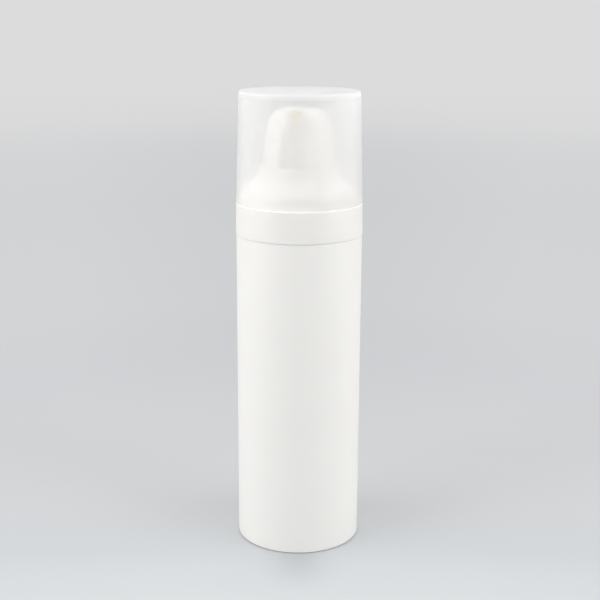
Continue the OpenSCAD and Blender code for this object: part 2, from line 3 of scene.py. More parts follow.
import bmesh
import bpy
import numpy as np
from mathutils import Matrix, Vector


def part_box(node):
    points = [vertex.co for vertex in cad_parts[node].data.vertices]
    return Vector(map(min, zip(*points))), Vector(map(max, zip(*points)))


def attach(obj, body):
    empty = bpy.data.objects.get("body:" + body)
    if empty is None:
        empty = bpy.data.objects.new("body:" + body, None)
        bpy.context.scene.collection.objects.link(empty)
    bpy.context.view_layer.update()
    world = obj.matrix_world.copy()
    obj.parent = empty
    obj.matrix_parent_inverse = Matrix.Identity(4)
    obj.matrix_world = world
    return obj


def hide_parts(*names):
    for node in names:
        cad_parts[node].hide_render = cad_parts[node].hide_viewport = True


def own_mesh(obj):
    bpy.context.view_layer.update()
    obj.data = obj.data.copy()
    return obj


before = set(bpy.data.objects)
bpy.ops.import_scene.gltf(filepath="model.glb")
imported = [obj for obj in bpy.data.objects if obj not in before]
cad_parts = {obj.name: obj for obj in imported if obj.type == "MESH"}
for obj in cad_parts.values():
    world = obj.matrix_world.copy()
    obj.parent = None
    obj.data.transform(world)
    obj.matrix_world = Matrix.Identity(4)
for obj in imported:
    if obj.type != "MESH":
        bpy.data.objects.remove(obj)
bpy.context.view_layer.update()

# An airless pump bottle with a frosted overcap. Lengths are in millimetres until a mesh is made in metres.
scene = bpy.context.scene
scene.view_settings.view_transform = "Standard"
mm = 0.001


def corners(node):
    # lowest and highest corner of a node, in millimetres
    low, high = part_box(node)
    return np.array(low) / mm, np.array(high) / mm


print("frame:", len(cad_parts), "nodes")

# Camera
viewpoint = {"lens": 68.56, "sensor": 36.0, "side": 0.29, "away": 305.0, "height": 145.0, "pitch": 14.24,
             "roll": 0.24, "seenFrom": 10.0, "seenTo": 60000.0}


def makeCamera(v):
    lens = bpy.data.cameras.new("viewpoint")
    lens.lens = v["lens"]
    lens.sensor_width = v["sensor"]
    lens.clip_start = v["seenFrom"] * mm
    lens.clip_end = v["seenTo"] * mm
    camera = bpy.data.objects.new("viewpoint", lens)
    scene.collection.objects.link(camera)
    camera.location = (v["side"] * mm, -v["away"] * mm, v["height"] * mm)
    camera.rotation_mode = "ZXY"
    camera.rotation_euler = (math.radians(90 - v["pitch"]), 0, math.radians(v["roll"]))
    scene.camera = camera


makeCamera(viewpoint)
print("camera placed")

# Mesh helpers
hair = 1e-6  # keeps a division off zero
leastSweep = 1e-4  # smallest turn of an arc, in radians
mergeWithin = 1e-7  # points closer than this become one, in metres
flatWithin = 1e-8  # shorter edges are dissolved, in metres
crisp, slight, soft = 0.05, 0.1, 0.2  # fillets of small edges


def roundedOutline(points, closed=True, steps=8):
    # points are (radius, height, fillet). Each corner becomes an arc tangent to its two sides: its centre is
    # on the corner's bisector at fillet / sin(half angle), and its points blend its two end spokes by sines.
    given = np.array(points, float)
    spot, fillet = given[:, :2], given[:, 2]
    if not closed:
        ends, spot, fillet = spot[[0, -1]], spot[1:-1], fillet[1:-1]
        before = np.vstack([ends[:1], spot[:-1]])
        after = np.vstack([spot[1:], ends[1:]])
    else:
        before, after = np.roll(spot, 1, 0), np.roll(spot, -1, 0)
    back = before - spot
    ahead = after - spot
    back /= np.linalg.norm(back, axis=1)[:, None]
    ahead /= np.linalg.norm(ahead, axis=1)[:, None]
    half = np.arccos(np.clip((back * ahead).sum(1), -1, 1)) / 2
    reach = fillet / np.tan(half)
    bisector = back + ahead
    middle = bisector / np.maximum(np.linalg.norm(bisector, axis=1), hair)[:, None]
    centre = spot + middle * (fillet / np.sin(half))[:, None]
    sweep = np.maximum(np.pi - 2 * half, leastSweep)[:, None, None]
    part = np.linspace(0, 1, steps + 1)[None, :, None]
    first = (spot + back * reach[:, None] - centre)[:, None, :]
    last = (spot + ahead * reach[:, None] - centre)[:, None, :]
    spokes = (np.sin((1 - part) * sweep) * first + np.sin(part * sweep) * last) / np.sin(sweep)
    outline = (centre[:, None, :] + spokes).reshape(-1, 2)
    return outline if closed else np.vstack([ends[:1], outline, ends[1:]])


def revolved(outline, columns):
    # every outline point (r, z) goes round the axis: x = r sin(turn), y = -r cos(turn)
    turn = np.linspace(0, 2 * np.pi, columns, endpoint=False)
    r, z = outline[:, :1], outline[:, 1:]
    return np.stack([r * np.sin(turn), -r * np.cos(turn), z + 0 * turn], axis=2)


def solidFromGrid(name, grid, closedRows=True):
    # grid[row, column] is a point in millimetres, neighbours become quads, and columns wrap round, as do
    # closed rows
    rows, columns = grid.shape[:2]
    index = np.arange(rows * columns).reshape(rows, columns)
    here = index if closedRows else index[:-1]
    down = np.roll(index, -1, 0) if closedRows else index[1:]
    quads = np.stack([here, np.roll(here, -1, 1), np.roll(down, -1, 1), down], axis=2).reshape(-1, 4)
    mesh = bpy.data.meshes.new(name)
    mesh.from_pydata((grid.reshape(-1, 3) * mm).tolist(), [], quads.tolist())
    tidy = bmesh.new()
    tidy.from_mesh(mesh)
    bmesh.ops.remove_doubles(tidy, verts=tidy.verts, dist=mergeWithin)
    bmesh.ops.dissolve_degenerate(tidy, edges=tidy.edges, dist=flatWithin)
    bmesh.ops.recalc_face_normals(tidy, faces=tidy.faces)
    tidy.to_mesh(mesh)
    tidy.free()
    mesh.polygons.foreach_set("use_smooth", np.ones(len(mesh.polygons), bool))
    piece = bpy.data.objects.new(name, mesh)
    scene.collection.objects.link(piece)
    return piece


def place(piece, body, node, material):
    piece.data.materials.clear()
    piece.data.materials.append(material)
    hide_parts(node)
    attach(piece, body)
    print("piece:", piece.name, len(piece.data.polygons), "faces")


# Shader helpers
class Wire:
    # a number or colour on its way through the nodes; + - * / add Math nodes
    def __init__(self, paint, socket):
        self.paint = paint
        self.socket = socket

    def maths(self, operation, *others):
        return self.paint.node("ShaderNodeMath", {"operation": operation}, [self, *others])

    def __add__(self, other):
        return self.maths("ADD", other)

    def __sub__(self, other):
        return self.maths("SUBTRACT", other)

    def __mul__(self, other):
        return self.maths("MULTIPLY", other)

    def __truediv__(self, other):
        return self.maths("DIVIDE", other)

    def __rsub__(self, other):
        return self.paint.node("ShaderNodeMath", {"operation": "SUBTRACT"}, [other, self])

    __radd__ = __add__
    __rmul__ = __mul__

    def near(self, level, width):
        # 1 at the level, falling to 0 at width away
        gap = (self - level).maths("ABSOLUTE")
        return (1 - gap / width).maths("MAXIMUM", 0.0)

    def between(self, low, high):
        # 0 below low, 1 above high, an even ramp between
        return ((self - low) / (high - low)).maths("MAXIMUM", 0.0).maths("MINIMUM", 1.0)


class Paint:
    def __init__(self, name, library=bpy.data.materials):
        # a material, or the world with bpy.data.worlds
        self.made = library.new(name)
        self.made.use_nodes = True
        self.tree = self.made.node_tree
        self.tree.nodes.clear()

    def node(self, kind, settings=None, sockets=None, output=0):
        # the settings come first, then values and links by socket name or place; gives one output back
        made = self.tree.nodes.new(kind)
        for key, value in (settings or {}).items():
            if key == "stops":
                self.setStops(made.color_ramp.elements, value)
            else:
                setattr(made, key, value)
        pairs = sockets.items() if isinstance(sockets, dict) else enumerate(sockets or ())
        for key, value in pairs:
            if isinstance(value, Wire):
                self.tree.links.new(value.socket, made.inputs[key])
            else:
                made.inputs[key].default_value = value
        return Wire(self, made.outputs[output])

    @staticmethod
    def setStops(elements, stops):
        while len(elements) < len(stops):
            elements.new(0.5)
        for element, (position, colour) in zip(elements, stops):
            element.position = position
            element.color = colour

    def spot(self):
        return self.node("ShaderNodeTexCoord", output="Object")

    def axes(self):
        # x, y and z of the point on the object
        made = self.tree.nodes.new("ShaderNodeSeparateXYZ")
        self.tree.links.new(self.spot().socket, made.inputs[0])
        return [Wire(self, s) for s in made.outputs]

    def cloud(self, scale, detail, stretch=(1, 1, 1)):
        # soft noise from 0 to 1; scale is in lumps per metre
        where = self.node("ShaderNodeMapping", {}, {"Vector": self.spot(), "Scale": stretch})
        return self.node("ShaderNodeTexNoise", {}, {"Vector": where, "Scale": scale, "Detail": detail})

    def blend(self, amount, first, second):
        # colour mix
        return self.node("ShaderNodeMix", {"data_type": "RGBA"}, {0: amount, 6: first, 7: second}, output=2)

    def bump(self, height, distance, strength, normal=None):
        sockets = {"Height": height, "Distance": distance, "Strength": strength}
        if normal is not None:
            sockets["Normal"] = normal
        return self.node("ShaderNodeBump", {}, sockets)

    def finish(self, surface, output="ShaderNodeOutputMaterial"):
        end = self.tree.nodes.new(output)
        self.tree.links.new(surface.socket, end.inputs["Surface"])
        return self.made


def colour(r, g, b):
    return (r, g, b, 1.0)


plasticDetail = {
    "cloudScale": 60.0, "speckScale": 900.0, "grainScale": 4200.0,  # lumps per metre
    "toneFrom": 0.3, "toneTo": 0.7, "cloudTone": 0.7, "speckTone": 0.3, "speckGloss": 0.6,
    "scuffScale": 260.0, "scuffStretch": (1, 1, 0.12), "scuffFrom": 0.62, "scuffTo": 0.8, "scuffDull": 0.06,
    "rubScale": 700.0, "rubFrom": 0.35, "rubTo": 0.7, "rubColour": 0.5, "rubShine": 0.1,
    "waveStrength": 0.5, "grainStrength": 0.6,
    "bend": 1.49, "lightDepth": 0.0008, "lightSpread": (1.0, 0.9, 0.8),
}


def moulded(name, look, detail=plasticDetail):
    # moulded plastic: a faint cloud in colour and gloss, fine tool grain, slow waviness and rubbed levels
    paint = Paint(name)
    drift = paint.cloud(detail["cloudScale"], 2.0)
    speck = paint.cloud(detail["speckScale"], 3.0)
    grain = paint.cloud(detail["grainScale"], 1.0)
    scuff = paint.cloud(detail["scuffScale"], 4.0, detail["scuffStretch"])
    scuff = scuff.between(detail["scuffFrom"], detail["scuffTo"])
    tone = drift.between(detail["toneFrom"], detail["toneTo"]) * detail["cloudTone"]
    tone = tone + speck * detail["speckTone"]
    coloured = paint.blend(tone, look["colour"], look["tint"])
    rough = look["rough"] + (drift - 0.5) * look["spread"]
    rough = rough + (speck - 0.5) * look["spread"] * detail["speckGloss"] + scuff * detail["scuffDull"]
    if "rubbed" in look:
        rub = rubbedShare(paint, look["rubbed"], detail)
        coloured = paint.blend(rub * detail["rubColour"], coloured, look["worn"])
        rough = rough - rub * detail["rubShine"]
    waves = paint.bump(drift, look["wave"] * mm, detail["waveStrength"])
    surface = paint.node("ShaderNodeBsdfPrincipled", {}, {
        "Base Color": coloured,
        "Roughness": rough,
        "IOR": detail["bend"],
        "Subsurface Weight": look.get("milk", 0.0),
        "Subsurface Radius": detail["lightSpread"],
        "Subsurface Scale": detail["lightDepth"],
        "Normal": paint.bump(grain, look["grain"] * mm, detail["grainStrength"], waves),
    })
    return paint.finish(surface)


def rubbedShare(paint, levels, detail):
    # patchy bands round the piece, each at a height and of a half width
    z = paint.axes()[2]
    bands = [z.near(level * mm, width * mm) for level, width in levels]
    share = bands[0]
    for band in bands[1:]:
        share = share.maths("MAXIMUM", band)
    return share * paint.cloud(detail["rubScale"], 3.0).between(detail["rubFrom"], detail["rubTo"])


def softRubber(name, look):
    # soft rubber: a faint cloud in colour and gloss, over a fine grain
    paint = Paint(name)
    drift = paint.cloud(look["cloudScale"], 3.0)
    surface = paint.node("ShaderNodeBsdfPrincipled", {}, {
        "Base Color": paint.blend(drift, look["colour"], look["tint"]),
        "Roughness": look["rough"] + (drift - 0.5) * look["spread"],
        "Normal": paint.bump(paint.cloud(look["grainScale"], 2.0), look["grain"] * mm, look["grainStrength"]),
    })
    return paint.finish(surface)


steelDetail = {"lineScale": 2400.0, "lineGloss": 0.18, "lineDepth": 0.004, "lineStrength": 0.6,
               "cloudScale": 250.0, "cloudGloss": 0.08}


def bareSteel(name, look, detail=steelDetail):
    # drawn or ground steel: fine lines round or along the piece in its gloss and in its surface
    paint = Paint(name)
    lines = paint.cloud(detail["lineScale"], 2.0, look["lines"])
    drift = paint.cloud(detail["cloudScale"], 3.0)
    rough = look["rough"] + (lines - 0.5) * detail["lineGloss"] + (drift - 0.5) * detail["cloudGloss"]
    surface = paint.node("ShaderNodeBsdfPrincipled", {}, {
        "Base Color": paint.blend(drift, look["colour"], look["tint"]),
        "Metallic": 1.0,
        "Roughness": rough,
        "Normal": paint.bump(lines, detail["lineDepth"] * mm, detail["lineStrength"]),
    })
    return paint.finish(surface)


def frosted(name, look):
    # frosted translucent plastic: clear and rough glass mixed with milk. The milk is thicker at the foot's
    # rim and at the top plate's edge, where one looks along the wall, and throws back more light there; there
    # its colour is also painted brighter, a painted highlight.
    paint = Paint(name)
    z = paint.axes()[2]
    drift = paint.cloud(look["cloudScale"], 2.0)
    unevenly = (drift - 0.5) * look["spread"]
    rim = z.near(look["rimLevel"] * mm, look["rimWidth"] * mm)
    edge = z.near(look["edgeLevel"] * mm, look["edgeWidth"] * mm)
    straight = paint.node("ShaderNodeBsdfTransparent", {}, {"Color": look["colour"]})
    bent = paint.node("ShaderNodeBsdfPrincipled", {}, {
        "Base Color": look["colour"],
        "Roughness": look["blur"] + unevenly,
        "IOR": look["bend"],
        "Transmission Weight": 1.0,
    })
    clear = paint.node("ShaderNodeMixShader", {}, {0: look["softShare"], 1: straight, 2: bent})
    haze = paint.blend(drift, look["haze"], look["hazeTint"])
    # painted highlight: the milk's colour is painted brighter at the foot's rim and the top plate's edge
    white = paint.node("ShaderNodeBsdfPrincipled", {}, {
        "Base Color": paint.blend((rim + edge).maths("MINIMUM", 1.0), haze, look["bright"]),
        "Roughness": look["rough"] + unevenly,
        "IOR": plasticDetail["bend"],
        "Normal": paint.bump(paint.cloud(look["grainScale"], 1.0), look["grain"] * mm, look["grainStrength"]),
    })
    glow = paint.node("ShaderNodeBsdfTranslucent", {}, {"Color": look["haze"]})
    glowShare = look["glow"] - edge * look["edgeShine"] - rim * look["rimShine"]
    milky = paint.node("ShaderNodeMixShader", {}, {0: glowShare, 1: white, 2: glow})
    milk = look["milk"] + rim * look["rimMilk"] + edge * look["edgeMilk"]
    milk = (milk + (drift - 0.5) * look["milkSpread"]).maths("MINIMUM", look["mostMilk"])
    wall = paint.node("ShaderNodeMixShader", {}, {0: milk, 1: clear, 2: milky})
    # a part of each lamp's light goes straight through, more of it at the foot
    shadowRay = paint.node("ShaderNodeLightPath", output="Is Shadow Ray")
    passing = shadowRay * (look["letThrough"] + rim * look["rimThrough"])
    way = paint.node("ShaderNodeBsdfTransparent", {}, {"Color": look["shadowTint"]})
    return paint.finish(paint.node("ShaderNodeMixShader", {}, {0: passing, 1: wall, 2: way}))


finishes = {
    "body": {"colour": colour(0.893, 0.88, 0.853), "tint": colour(0.881, 0.867, 0.84),
             "worn": colour(0.87, 0.868, 0.845), "rough": 0.40, "spread": 0.08, "wave": 0.02, "grain": 0.003,
             "milk": 0.05, "rubbed": [(0.2, 0.6), (86.2, 0.3)]},
    "base": {"colour": colour(0.88, 0.878, 0.865), "tint": colour(0.865, 0.862, 0.85),
             "worn": colour(0.84, 0.84, 0.83), "rough": 0.45, "spread": 0.1, "wave": 0.02, "grain": 0.006,
             "rubbed": [(0.4, 0.3)]},
    "collar": {"colour": colour(0.90, 0.884, 0.856), "tint": colour(0.888, 0.871, 0.843),
               "worn": colour(0.88, 0.875, 0.85), "rough": 0.34, "spread": 0.06, "wave": 0.012,
               "grain": 0.002, "milk": 0.05, "rubbed": [(86.7, 0.35), (94.9, 0.35), (104.8, 0.5)]},
    "head": {"colour": colour(0.915, 0.90, 0.86), "tint": colour(0.905, 0.889, 0.85),
             "worn": colour(0.88, 0.873, 0.84), "rough": 0.36, "spread": 0.08, "wave": 0.01, "grain": 0.003,
             "milk": 0.05, "rubbed": [(120.2, 0.4)]},
    "core": {"colour": colour(0.97, 0.84, 0.50), "tint": colour(0.95, 0.82, 0.48),
             "rough": 0.38, "spread": 0.1, "wave": 0.01, "grain": 0.004, "milk": 0.1},
    "natural": {"colour": colour(0.86, 0.86, 0.83), "tint": colour(0.83, 0.83, 0.8),
                "rough": 0.42, "spread": 0.12, "wave": 0.02, "grain": 0.006, "milk": 0.15},
    "closure": {"colour": colour(0.88, 0.88, 0.87), "tint": colour(0.86, 0.86, 0.85),
                "rough": 0.4, "spread": 0.1, "wave": 0.02, "grain": 0.005},
    "piston": {"colour": colour(0.78, 0.83, 0.88), "tint": colour(0.75, 0.8, 0.85),
               "rough": 0.48, "spread": 0.1, "wave": 0.015, "grain": 0.005, "milk": 0.2},
    "follower": {"colour": colour(0.86, 0.86, 0.82), "tint": colour(0.83, 0.83, 0.79),
                 "rough": 0.5, "spread": 0.12, "wave": 0.03, "grain": 0.008, "milk": 0.2},
    "seal": {"colour": colour(0.56, 0.56, 0.55), "tint": colour(0.5, 0.5, 0.49), "rough": 0.55, "spread": 0.2,
             "cloudScale": 300.0, "grainScale": 2600.0, "grain": 0.02, "grainStrength": 0.6},
    "ball": {"colour": colour(0.72, 0.72, 0.74), "tint": colour(0.66, 0.66, 0.68), "rough": 0.22,
             "lines": (1, 1, 1)},
    "spring": {"colour": colour(0.66, 0.67, 0.7), "tint": colour(0.58, 0.59, 0.62), "rough": 0.32,
               "lines": (1, 1, 6)},
    "cap": {"colour": colour(0.98, 0.98, 0.98), "haze": colour(0.863, 0.862, 0.864),
            # bright is the painted highlight's colour at the foot's rim and the top plate's edge
            "hazeTint": colour(0.849, 0.848, 0.85), "bright": colour(0.95, 0.95, 0.945),
            "cloudScale": 70.0, "grainScale": 5200.0, "grain": 0.006, "grainStrength": 0.5, "rough": 0.38,
            "spread": 0.08, "blur": 0.3, "bend": 1.2, "softShare": 0.15,
            "milk": 0.4, "milkSpread": 0.05, "mostMilk": 0.97, "glow": 0.86,
            "rimLevel": 95.2, "rimWidth": 3.4, "rimMilk": 0.12, "rimShine": 0.3, "rimThrough": 0.23,
            "edgeLevel": 124.1, "edgeWidth": 1.3, "edgeMilk": 0.49, "edgeShine": 0.5,
            "shadowTint": colour(0.985, 0.985, 0.985), "letThrough": 0.76},
}

plastics = ("body", "base", "collar", "head", "core", "natural", "closure", "piston", "follower")
materials = {key: moulded(key + "Plastic", finishes[key]) for key in plastics}
materials["seal"] = softRubber("sealRubber", finishes["seal"])
materials["ball"] = bareSteel("ballSteel", finishes["ball"])
materials["spring"] = bareSteel("springSteel", finishes["spring"])
materials["cap"] = frosted("frostedPlastic", finishes["cap"])
print("materials:", len(materials))

# Bottle body
bodyHigh = corners("bottle_body")[1]
bottle = {"radius": bodyHigh[0], "wall": 1.4, "shoulder": 86.44, "deck": 1.6, "rim": bodyHigh[2],
          "neck": 13.2, "neckWall": 1.4, "bead": 0.55, "beadLow": 89.2, "beadHigh": 90.4, "beadFace": 0.4,
          "plugStep": 0.5, "plugTop": 1.8, "groove": (2.7, 3.3, 0.25),  # from, to and depth
          "footRound": 0.25, "footInRound": 0.12, "edgeRound": 0.1, "neckRound": 0.4, "crestRound": 0.12,
          "rimRound": 0.15, "neckInRound": 0.3, "deckRound": 0.5, "columns": 288}


def bodyOutline(b):
    # from the foot up the wall, over the deck and the neck with its bead, and back down the bore
    bore = b["radius"] - b["wall"]
    neckBore = b["neck"] - b["neckWall"]
    low, high, depth = b["groove"]
    return roundedOutline([
        (bore + b["plugStep"], 0, b["footInRound"]),
        (b["radius"], 0, b["footRound"]),
        (b["radius"], b["shoulder"], b["edgeRound"]),
        (b["neck"], b["shoulder"], b["neckRound"]),
        (b["neck"], b["beadLow"], slight),
        (b["neck"] + b["bead"], b["beadLow"], slight),
        (b["neck"] + b["bead"], b["beadLow"] + b["beadFace"], b["crestRound"]),
        (b["neck"], b["beadHigh"], soft),
        (b["neck"], b["rim"], b["rimRound"]),
        (neckBore, b["rim"], soft),
        (neckBore, b["shoulder"] - b["deck"], b["neckInRound"]),
        (bore, b["shoulder"] - b["deck"], b["deckRound"]),
        (bore, high, crisp),
        (bore + depth, high, crisp),
        (bore + depth, low, crisp),
        (bore, low, crisp),
        (bore, b["plugTop"], slight),
        (bore + b["plugStep"], b["plugTop"], slight),
    ])


place(solidFromGrid("bottleBody", revolved(bodyOutline(bottle), bottle["columns"])), "bottle", "bottle_body",
      materials["body"])

# Base plug
plugLow, plugHigh = corners("base_plug")
basePlug = {"radius": plugHigh[0], "low": plugLow[2], "rim": 1.8, "top": plugHigh[2], "skirt": 15.55,
            "skirtWall": 1.05, "bead": 0.2, "beadAt": 3.0, "beadHalf": 0.25, "dish": 0.5, "dishRadius": 12.5,
            "vent": 0.9, "ventRound": 0.15, "rimRound": 0.15, "beadRound": 0.08, "rootRound": 0.3,
            "columns": 216}


def plugOutline(p):
    # from the vent out along the dished underside, round the rim, up the skirt and back inside it
    inside = p["skirt"] - p["skirtWall"]
    return roundedOutline([
        (p["vent"], p["low"] + p["dish"], p["ventRound"]),
        (p["dishRadius"], p["low"] + p["dish"], soft),
        (p["dishRadius"], p["low"], soft),
        (p["radius"], p["low"], soft),
        (p["radius"], p["rim"], p["rimRound"]),
        (p["skirt"], p["rim"], crisp),
        (p["skirt"], p["beadAt"] - p["beadHalf"], crisp),
        (p["skirt"] + p["bead"], p["beadAt"], p["beadRound"]),
        (p["skirt"], p["beadAt"] + p["beadHalf"], crisp),
        (p["skirt"], p["top"], soft),
        (inside, p["top"], soft),
        (inside, p["rim"], p["rootRound"]),
        (p["vent"], p["rim"], p["ventRound"]),
    ])


place(solidFromGrid("basePlug", revolved(plugOutline(basePlug), basePlug["columns"])), "bottle", "base_plug",
      materials["base"])

# Shoulder collar
collarLow, collarHigh = corners("shoulder_collar")
collar = {"foot": collarHigh[0], "low": collarLow[2], "band": 17.0, "ledge": 95.0, "wall": 1.1, "seat": 15.55,
          "turret": 11.0, "top": collarHigh[2], "flareLow": 96.7, "flareHigh": 103.5, "lowRound": 2.5,
          "highRound": 3.0, "footRound": 0.1, "bandRound": 0.42, "seatRound": 0.12, "rimRound": 0.8,
          "rimInRound": 0.25, "ledgeInRound": 0.3, "arcSteps": 14, "columns": 288}


def flareCorners(c, inset):
    # the flare is an outward arc, a straight and an inward arc. The straight touches both arcs, so its lean
    # is that of the line between their centres plus the angle whose sine is the two radii over its length.
    reach = c["lowRound"] + c["highRound"]
    across = c["seat"] - c["turret"] - reach
    rise = c["flareHigh"] - c["flareLow"]
    straight = math.sqrt(across ** 2 + rise ** 2 - reach ** 2)
    lean = math.atan2(across, rise) + math.atan2(reach, straight)
    low, high = c["lowRound"] - inset, c["highRound"] + inset
    return [(c["seat"] - inset, c["flareLow"] + low * math.tan(lean / 2), low),
            (c["turret"] - inset, c["flareHigh"] - high * math.tan(lean / 2), high)]


def collarOutline(c):
    # up the band, in over the ledge, up the seat, the flare and the turret, and down again a wall inside
    wall = c["wall"]
    return roundedOutline([
        (c["band"] - wall, c["low"], soft),
        (c["foot"], c["low"], c["footRound"]),
        (c["band"], c["ledge"], c["bandRound"]),
        (c["seat"], c["ledge"], c["seatRound"]),
        *flareCorners(c, 0),
        (c["turret"], c["top"], c["rimRound"]),
        (c["turret"] - wall, c["top"], c["rimInRound"]),
        *flareCorners(c, wall)[::-1],
        (c["seat"] - wall, c["ledge"] - wall, c["ledgeInRound"]),
        (c["band"] - wall, c["ledge"] - wall, c["ledgeInRound"]),
    ], steps=c["arcSteps"])


place(solidFromGrid("shoulderCollar", revolved(collarOutline(collar), collar["columns"])), "bottle",
      "shoulder_collar", materials["collar"])

# Actuator: a domed button with a finger scoop in front and a spout over it
buttonLow = corners("actuator")[0]
button = {"radius": 9.65, "foot": buttonLow[2], "crown": 120.2, "sideStart": 104.0, "sideRound": 56.0,
          "crownRound": 26.0, "shoulderRound": 4.5, "wall": 1.1, "scoopRound": 6.5, "scoopFloor": 6.9,
          "archFrom": 112.5, "scoopEnd": 103.5, "scoopEndEdge": 0.6, "scoopEdge": 0.5, "turn": 6.0,
          "spoutWidth": 5.4, "spoutHeight": 3.5, "spoutFrom": 3.0, "spoutReach": 9.5, "spoutLevel": 118.6,
          "spoutEdge": 0.35, "spoutFlow": 1.0, "tipWidth": 3.0, "tipHeight": 2.3, "tipDepth": 0.6,
          "tipEdge": 0.12,
          # the skirt's lower end: the lip's two widths and heights, and where the rows above it start
          "lipWide": 0.2, "lipHalf": 0.06, "lipHigh": 0.18, "lipLow": 0.05, "skirtEnd": 0.3,
          # rows over crown, shoulder, side and skirt, columns round the axis, and the rays' search
          "outerRows": (30, 64, 84, 16), "innerRows": (12, 24, 32, 8), "columns": 300, "crowding": 0.5,
          "rayFrom": 0.2, "rayTo": 13.0, "rayStep": 0.1, "halvings": 18}


def buttonCentres(b):
    # centres of the side, crown and shoulder arcs; the shoulder's touches both others from inside
    side = np.array([b["radius"] - b["sideRound"], b["sideStart"]])
    crown = np.array([0.0, b["crown"] - b["crownRound"]])
    sideReach = b["sideRound"] - b["shoulderRound"]
    crownReach = b["crownRound"] - b["shoulderRound"]
    gap = np.linalg.norm(crown - side)
    along = (sideReach ** 2 - crownReach ** 2 + gap ** 2) / (2 * gap)
    up = math.sqrt(sideReach ** 2 - along ** 2)
    line = (crown - side) / gap
    return side, crown, side + along * line + up * np.array([-line[1], line[0]])


def softMin(a, b, blend):
    # the smaller of two distances, with the corner between them rounded over a width of blend
    share = np.clip(0.5 + 0.5 * (b - a) / blend, 0, 1)
    return b + (a - b) * share - blend * share * (1 - share)


def softMax(a, b, blend):
    return -softMin(-a, -b, blend)


def stadiumDistance(x, z, width, height):
    # distance from a flat outline with two round ends
    return np.hypot(np.maximum(np.abs(x) - (width - height) / 2, 0), z) - height / 2


def buttonDistance(b, x, y, z):
    # distance from the button's surface, negative inside: the turned body less the scoop, joined with the
    # spout, less the tip's recess. The scoop is an upright cylinder with a ball end, and the spout a stadium
    # drawn out along y.
    side, crown, shoulder = buttonCentres(b)
    r = np.hypot(x, y)
    flank = np.where(z > side[1], np.hypot(r - side[0], z - side[1]) - b["sideRound"], r - b["radius"])
    dome = np.hypot(r, z - crown[1]) - b["crownRound"]
    turn = np.arctan2(z - shoulder[1], r - shoulder[0])
    fromSide = math.atan2(*(shoulder - side)[::-1])
    fromCrown = math.atan2(*(shoulder - crown)[::-1])
    corner = np.hypot(r - shoulder[0], z - shoulder[1]) - b["shoulderRound"]
    body = np.where((turn > fromSide) & (turn < fromCrown), corner, np.maximum(flank, dome))
    away = np.hypot(x, y + b["scoopFloor"] + b["scoopRound"])
    scoop = np.hypot(away, np.maximum(z - b["archFrom"], 0)) - b["scoopRound"]
    scoop = softMax(scoop, b["scoopEnd"] - z, b["scoopEndEdge"])
    body = softMax(body, -scoop, b["scoopEdge"])
    edge = b["spoutEdge"]
    section = stadiumDistance(x, z - b["spoutLevel"], b["spoutWidth"], b["spoutHeight"]) + edge
    length = np.maximum(-y - b["spoutReach"], y + b["spoutFrom"]) + edge
    outside = np.hypot(np.maximum(section, 0), np.maximum(length, 0))
    spout = outside + np.minimum(np.maximum(section, length), 0) - edge
    body = softMin(body, spout, b["spoutFlow"])
    tip = stadiumDistance(x, z - b["spoutLevel"], b["tipWidth"], b["tipHeight"])
    tip = np.maximum(tip, y + b["spoutReach"] - b["tipDepth"])
    return softMax(body, -tip, b["tipEdge"])


def buttonProfile(b, inset, counts):
    # the turned body's own outline from the axis down, on a surface that lies inset inside it
    side, crown, shoulder = buttonCentres(b)
    fromSide = math.atan2(*(shoulder - side)[::-1])
    fromCrown = math.atan2(*(shoulder - crown)[::-1])

    def arc(centre, radius, a0, a1, count):
        angle = np.linspace(a0, a1, count, endpoint=False)
        return centre + radius * np.stack([np.cos(angle), np.sin(angle)], axis=1)
    skirt = np.linspace(b["sideStart"], b["foot"] + b["skirtEnd"], counts[3])
    return np.vstack([
        arc(crown, b["crownRound"] - inset, np.pi / 2, fromCrown, counts[0]),
        arc(shoulder, b["shoulderRound"] - inset, fromCrown, fromSide, counts[1]),
        arc(side, b["sideRound"] - inset, fromSide, 0, counts[2]),
        np.stack([np.full(counts[3], b["radius"] - inset), skirt], axis=1),
    ])


def buttonSkin(b, inset, counts, turns):
    # each profile point is reached by a ray from the axis; the skin lies where the ray last leaves the solid
    profile = buttonProfile(b, inset, counts)
    start = np.minimum(profile[:, 1], b["spoutLevel"])
    way = np.stack([profile[:, 0], profile[:, 1] - start], axis=1)
    way /= np.linalg.norm(way, axis=1)[:, None]
    out = way[:, :1] * np.sin(turns)
    fore = -way[:, :1] * np.cos(turns)
    rise = way[:, 1:] + 0 * turns
    base = start[:, None] + 0 * turns

    def depth(s):
        return buttonDistance(b, out * s, fore * s, base + rise * s) + inset
    far = np.full(out.shape, b["rayFrom"])
    for s in np.arange(b["rayFrom"], b["rayTo"], b["rayStep"]):
        far = np.where(depth(s) < 0, s, far)
    low, high = far, far + b["rayStep"]
    for _ in range(b["halvings"]):
        half = (low + high) / 2
        inside = depth(half) < 0
        low, high = np.where(inside, half, low), np.where(inside, high, half)
    return np.stack([out * low, fore * low, base + rise * low], axis=2)


